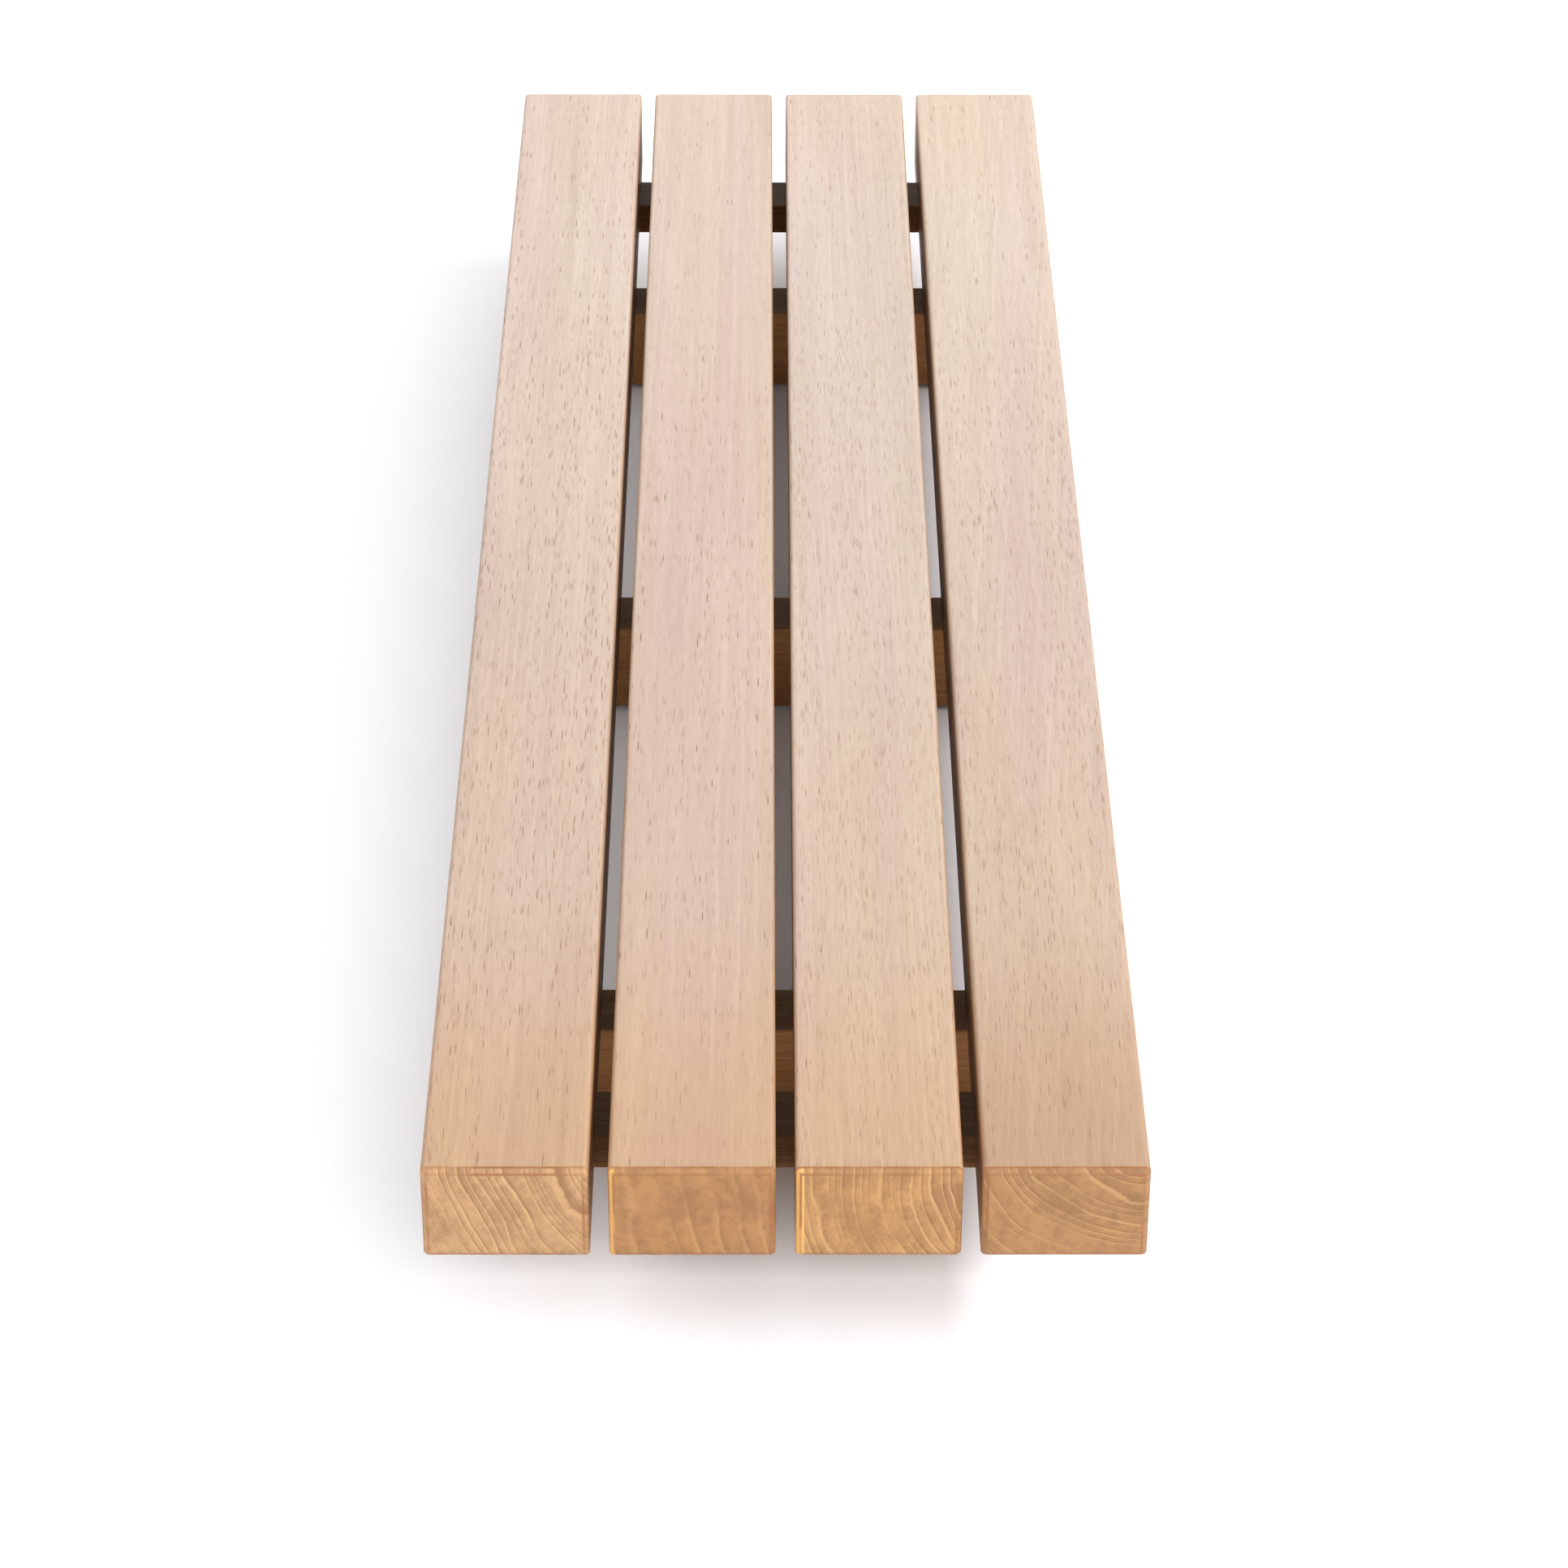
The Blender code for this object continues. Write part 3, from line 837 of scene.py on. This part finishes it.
def screw_mesh(name, head, length, core, crest, pitch):
    """Make a screw as one skin: its head's profile, a shank with a helical thread, and its point.

    core and crest are the radii at the foot and at the top of the thread.
    """
    shape = bmesh.new()
    rings = [turned_ring(shape, radius, height, THREAD_STEPS) for radius, height in head]
    bottom = head[-1][1] + NECK_HEIGHT
    step_height = pitch / ROWS_PER_TURN
    for row in range(1, int((length - bottom) / step_height)):
        height = bottom + row * step_height
        fade_in = min(1.0, (height - bottom) / (2 * pitch))
        taper = min(1.0, (length - height) / (3 * pitch))
        ring = []
        for step in range(THREAD_STEPS):
            angle = math.tau * step / THREAD_STEPS
            turn = (height / pitch - step / THREAD_STEPS) % 1.0
            ridge = max(0.0, 1.0 - abs(turn - 0.5) / 0.22)
            radius = core * (0.25 + 0.75 * taper) + (crest - core) * ridge * fade_in * taper
            point = (radius * math.cos(angle), radius * math.sin(angle), height)
            ring.append(shape.verts.new(point))
        rings.append(ring)
    rings.append(turned_ring(shape, 0.0, length, THREAD_STEPS))
    join_rings(shape, rings)
    bmesh.ops.recalc_face_normals(shape, faces=shape.faces)
    return new_mesh(name, shape)


def cut_recess(mesh, head_radius):
    """Cut a cross recess into a screw's head and give the new mesh."""
    screw = link("screw blank", mesh)
    half_long, half_wide = head_radius * 0.5, RECESS_WIDTH / 2
    slots = []
    for half_x, half_y in ((half_long, half_wide), (half_wide, half_long)):
        low, high = (-half_x, -half_y, -RECESS_OVERCUT), (half_x, half_y, RECESS_DEPTH)
        slots.append(box_cutter(low, high))
    cut_away(screw, slots)
    mesh = screw.data
    bpy.data.objects.remove(screw, do_unlink=True)
    shade(mesh, STEEL_SHARP_ANGLE)
    return mesh


def make_screws(material):
    """Make the pan-head screws in the bearers and the countersunk screws in the strips."""
    kinds = (
        ("pan screw", BEARERS, pan_head, PAN_THREAD),
        ("countersunk screw", STRIPS, countersunk_head, SUNK_THREAD),
    )
    for name, rows, head, thread in kinds:
        low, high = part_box(f"{rows[0]}_screw_1")
        head_radius = (high.x - low.x) / 2
        mesh = screw_mesh(name, head(head_radius), high.z - low.z, **thread)
        mesh = cut_recess(mesh, head_radius)
        for row in rows:
            for number in SCREW_NUMBERS:
                node = f"{row}_screw_{number}"
                low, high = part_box(node)
                place = ((low.x + high.x) / 2, (low.y + high.y) / 2, low.z)
                # no two screws of a row were driven home to the same angle
                turn = 0.7 * number + 0.4 * len(row)
                screw = link(node + "_steel", mesh, place, turn)
                finish_piece(screw, node, material)


def foot_mesh(outer, tall):
    """Turn a rubber ring with round lower edges and two tread grooves underneath."""
    profile = [
        (FOOT_BORE_RADIUS, tall),
        (outer - FOOT_TOP_ARRIS, tall),
        (outer, tall - FOOT_TOP_ARRIS),
        (outer, FOOT_ROUND),
    ]
    for step in range(1, 5):
        angle = math.pi / 8 * step
        inward, upward = FOOT_ROUND * (1 - math.cos(angle)), FOOT_ROUND * (1 - math.sin(angle))
        profile.append((outer - inward, upward))
    for place in TREAD_PLACES:
        center = outer - place
        profile.append((center + TREAD_GROOVE, 0.0))
        profile.append((center + TREAD_GROOVE / 2, TREAD_GROOVE))
        profile.append((center - TREAD_GROOVE / 2, TREAD_GROOVE))
        profile.append((center - TREAD_GROOVE, 0.0))
    profile.append((FOOT_BORE_RADIUS + FOOT_ROUND / 2, 0.0))
    profile.append((FOOT_BORE_RADIUS, FOOT_ROUND / 2))
    shape = bmesh.new()
    rings = [turned_ring(shape, radius, height, FOOT_STEPS) for radius, height in profile]
    join_rings(shape, rings + [rings[0]])
    bmesh.ops.recalc_face_normals(shape, faces=shape.faces)
    mesh = new_mesh("foot", shape)
    shade(mesh, RUBBER_SHARP_ANGLE)
    return mesh


def make_feet(material):
    """Make the rubber feet, two under each bearer."""
    size = middle_and_size("foot_near_left")[1]
    mesh = foot_mesh(size.x / 2, size.z)
    for row in ("near", "middle", "far"):
        for side in ("left", "right"):
            node = f"foot_{row}_{side}"
            middle, size = middle_and_size(node)
            place = (middle.x, middle.y, middle.z - size.z / 2)
            foot = link(node + "_rubber", mesh, place)
            finish_piece(foot, node, material)


# ---------------------------------------------------------------- floor, light and camera

FLOOR_HALF_SIZE = 12.0

# The even light from all around
SURROUND_STRENGTH = 0.32

# Soft lights: name, place, target, width and height, power in watts
ON_FLOOR = (0.0, 0.0, 0.0)
IN_MAT = (0.0, 0.0, 0.05)
LIGHTS = (
    ("far wall high", (0.0, 3.0, 2.3), ON_FLOOR, (4.0, 1.2), 23.0),
    ("far wall low", (0.0, 3.4, 0.95), IN_MAT, (4.0, 1.4), 71.0),
    ("front wall", (0.0, -3.2, 2.0), ON_FLOOR, (3.0, 1.5), 120.0),
    ("right window", (2.4, 0.0, 1.75), IN_MAT, (3.5, 0.5), 106.0),
    ("left window", (-2.4, 0.0, 1.2), IN_MAT, (3.5, 0.5), 30.0),
)

# The camera: lens and sensor in millimetres, place in metres, angles in degrees
LENS = 108.78
SENSOR_WIDTH = 36.0
CAMERA_PLACE = (-0.0084, -1.7857, 1.1246)
CAMERA_PITCH = 33.28
CAMERA_YAW = 0.3156
CAMERA_ROLL = 0.193
CLIP_END = 100.0


def make_floor():
    """Lay a wide pale floor under the mat."""
    shape = bmesh.new()
    bmesh.ops.create_grid(shape, x_segments=1, y_segments=1, size=FLOOR_HALF_SIZE)
    floor = link("floor", new_mesh("floor", shape))
    floor.data.materials.append(floor_material())


def area_light(name, place, target, size, power):
    """Hang a soft white rectangular light that faces a target."""
    data = bpy.data.lights.new(name, "AREA")
    data.shape = "RECTANGLE"
    data.size, data.size_y = size
    data.energy = power
    light = bpy.data.objects.new(name, data)
    light.location = place
    direction = Vector(target) - Vector(place)
    light.rotation_euler = direction.to_track_quat("-Z", "Y").to_euler()
    bpy.context.scene.collection.objects.link(light)


def make_light():
    """Light the mat as in a white studio: bright walls before and behind, windows at the sides."""
    world = bpy.data.worlds.new("studio")
    world.use_nodes = True
    background = world.node_tree.nodes["Background"]
    background.inputs["Color"].default_value = (1.0, 1.0, 1.0, 1.0)
    background.inputs["Strength"].default_value = SURROUND_STRENGTH
    bpy.context.scene.world = world
    for light in LIGHTS:
        area_light(*light)


def make_camera():
    """Look down the length of the mat from its near end, a little left of the middle."""
    data = bpy.data.cameras.new("camera")
    data.sensor_width = SENSOR_WIDTH
    data.sensor_fit = "HORIZONTAL"
    data.lens = LENS
    data.clip_end = CLIP_END
    camera = bpy.data.objects.new("camera", data)
    turn = Matrix.Rotation(-math.radians(CAMERA_YAW), 4, "Z")
    tilt = Matrix.Rotation(math.pi / 2 - math.radians(CAMERA_PITCH), 4, "X")
    roll = Matrix.Rotation(math.radians(CAMERA_ROLL), 4, "Z")
    rotation = turn @ tilt @ roll
    camera.matrix_world = Matrix.Translation(CAMERA_PLACE) @ rotation
    bpy.context.scene.collection.objects.link(camera)
    bpy.context.scene.camera = camera


def main():
    """Build the looks around the CAD frame."""
    bpy.context.scene.view_settings.view_transform = "Standard"
    make_camera()
    make_slats()
    make_crosspieces()
    make_screws(steel())
    make_feet(rubber())
    make_floor()
    make_light()


main()
